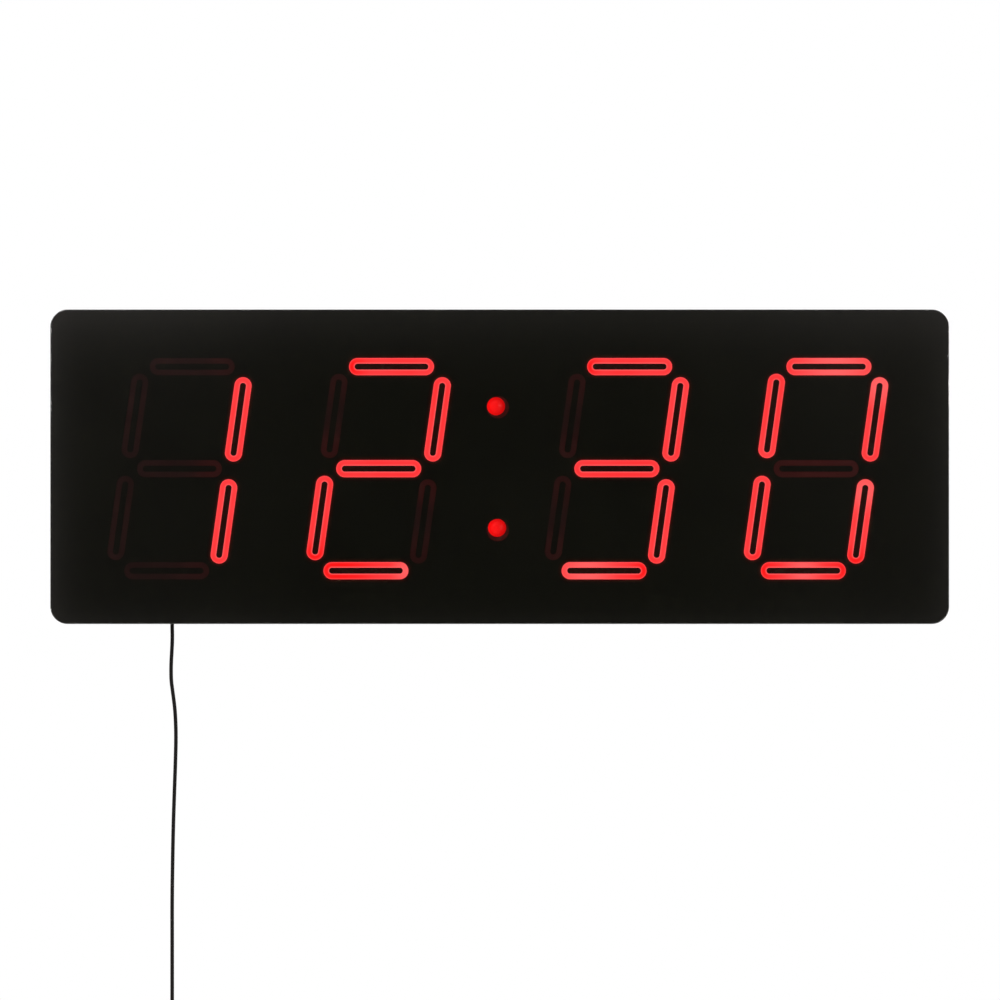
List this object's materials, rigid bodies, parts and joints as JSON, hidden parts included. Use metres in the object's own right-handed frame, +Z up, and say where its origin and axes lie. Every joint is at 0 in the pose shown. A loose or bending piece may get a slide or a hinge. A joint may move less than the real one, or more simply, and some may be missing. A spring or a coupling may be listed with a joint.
{
  "type": "led wall clock",
  "caption": "Wide black digital wall clock with slanted red outline numerals and a colon behind a glossy panel, on a shallow housing with keyhole hangers, rear keys and a plug-in supply lead.",
  "frame": {"origin": "on the wall plane, midway between the middles of the two hanger holes in the rear cover", "axes": "+X to the right seen from the front, +Y into the wall (the display faces -Y), +Z up"},
  "size_m": [0.5702, 0.035, 0.5801],
  "materials": {
    "panel": "polished smoked acrylic",
    "print": "printed black layer",
    "tape": "foam tape",
    "housing": "fine-grained black",
    "cover_screw": "black zinc",
    "steel": "bright nickel",
    "light_box": "white, satin",
    "lit_lens": "glowing red",
    "dark_lens": "dark red, translucent",
    "lamp": "glowing red dome",
    "board": "green solder mask",
    "led": "clear-topped chip",
    "chip": "moulded black",
    "capacitor": "satin can",
    "key": "satin black",
    "plunger": "natural",
    "contact": "sprung strip",
    "ribbon": "flat cable",
    "cord": "soft black",
    "adapter": "fine-grained black"
  },
  "bodies": {
    "clock": {"front_panel": "panel", "printed_mask": "print", "bonding_tape": "tape", "housing_shell": "housing", "rear_cover": "housing", "cover_screws": "cover_screw", "digit_1_light_box": "light_box", "digit_2_light_box": "light_box", "digit_3_light_box": "light_box", "digit_4_light_box": "light_box", "digit_1_lit_bars": "lit_lens", "digit_2_lit_bars": "lit_lens", "digit_3_lit_bars": "lit_lens", "digit_4_lit_bars": "lit_lens", "digit_1_dark_bars": "dark_lens", "digit_2_dark_bars": "dark_lens", "digit_3_dark_bars": "dark_lens", "digit_4_dark_bars": "dark_lens", "digit_1_board": "board", "digit_2_board": "board", "digit_3_board": "board", "digit_4_board": "board", "digit_1_leds": "led", "digit_2_leds": "led", "digit_3_leds": "led", "digit_4_leds": "led", "colon_light_box": "light_box", "colon_lenses": "dark_lens", "colon_lamps": "lamp", "colon_board": "board", "board_screws": "steel", "control_board": "board", "control_chips": "chip", "capacitors": "capacitor", "crystal_can": "steel", "key_switches": "chip", "backup_cell": "steel", "cell_holder": "chip", "cell_clip": "contact", "dc_jack": "chip", "jack_pin": "steel", "link_sockets": "plunger", "link_ribbons": "ribbon"},
    "set_button": {"set_key": "key", "set_plunger": "plunger"},
    "up_button": {"up_key": "key", "up_plunger": "plunger"},
    "down_button": {"down_key": "key", "down_plunger": "plunger"},
    "cell_cover": {"cell_door": "key"},
    "supply": {"plug_barrel": "steel", "plug_grip": "cord", "supply_lead": "cord", "lead_coil": "cord", "lead_tie": "cord", "adapter_lead": "cord", "adapter_relief": "cord", "adapter_case": "adapter", "adapter_lid": "adapter", "adapter_pins": "steel"}
  },
  "joints": [
    {"name": "set_press", "type": "slide", "parent": "clock", "child": "set_button", "axis": [0, -1, 0], "range_m": [0, 0.0005], "stiffness_N_per_m": 3000, "springref_m": -0.0001},
    {"name": "up_press", "type": "slide", "parent": "clock", "child": "up_button", "axis": [0, -1, 0], "range_m": [0, 0.0005], "stiffness_N_per_m": 3000, "springref_m": -0.0001},
    {"name": "down_press", "type": "slide", "parent": "clock", "child": "down_button", "axis": [0, -1, 0], "range_m": [0, 0.0005], "stiffness_N_per_m": 3000, "springref_m": -0.0001},
    {"name": "cell_cover_turn", "type": "hinge", "parent": "clock", "child": "cell_cover", "pos_m": [-0.234, -0.002, -0.10057], "axis": [0, -1, 0], "range_deg": [0, 60]},
    {"name": "supply_unplug", "type": "slide", "parent": "clock", "child": "supply", "axis": [0, 0, -1], "range_m": [0, 0.012]}
  ]
}
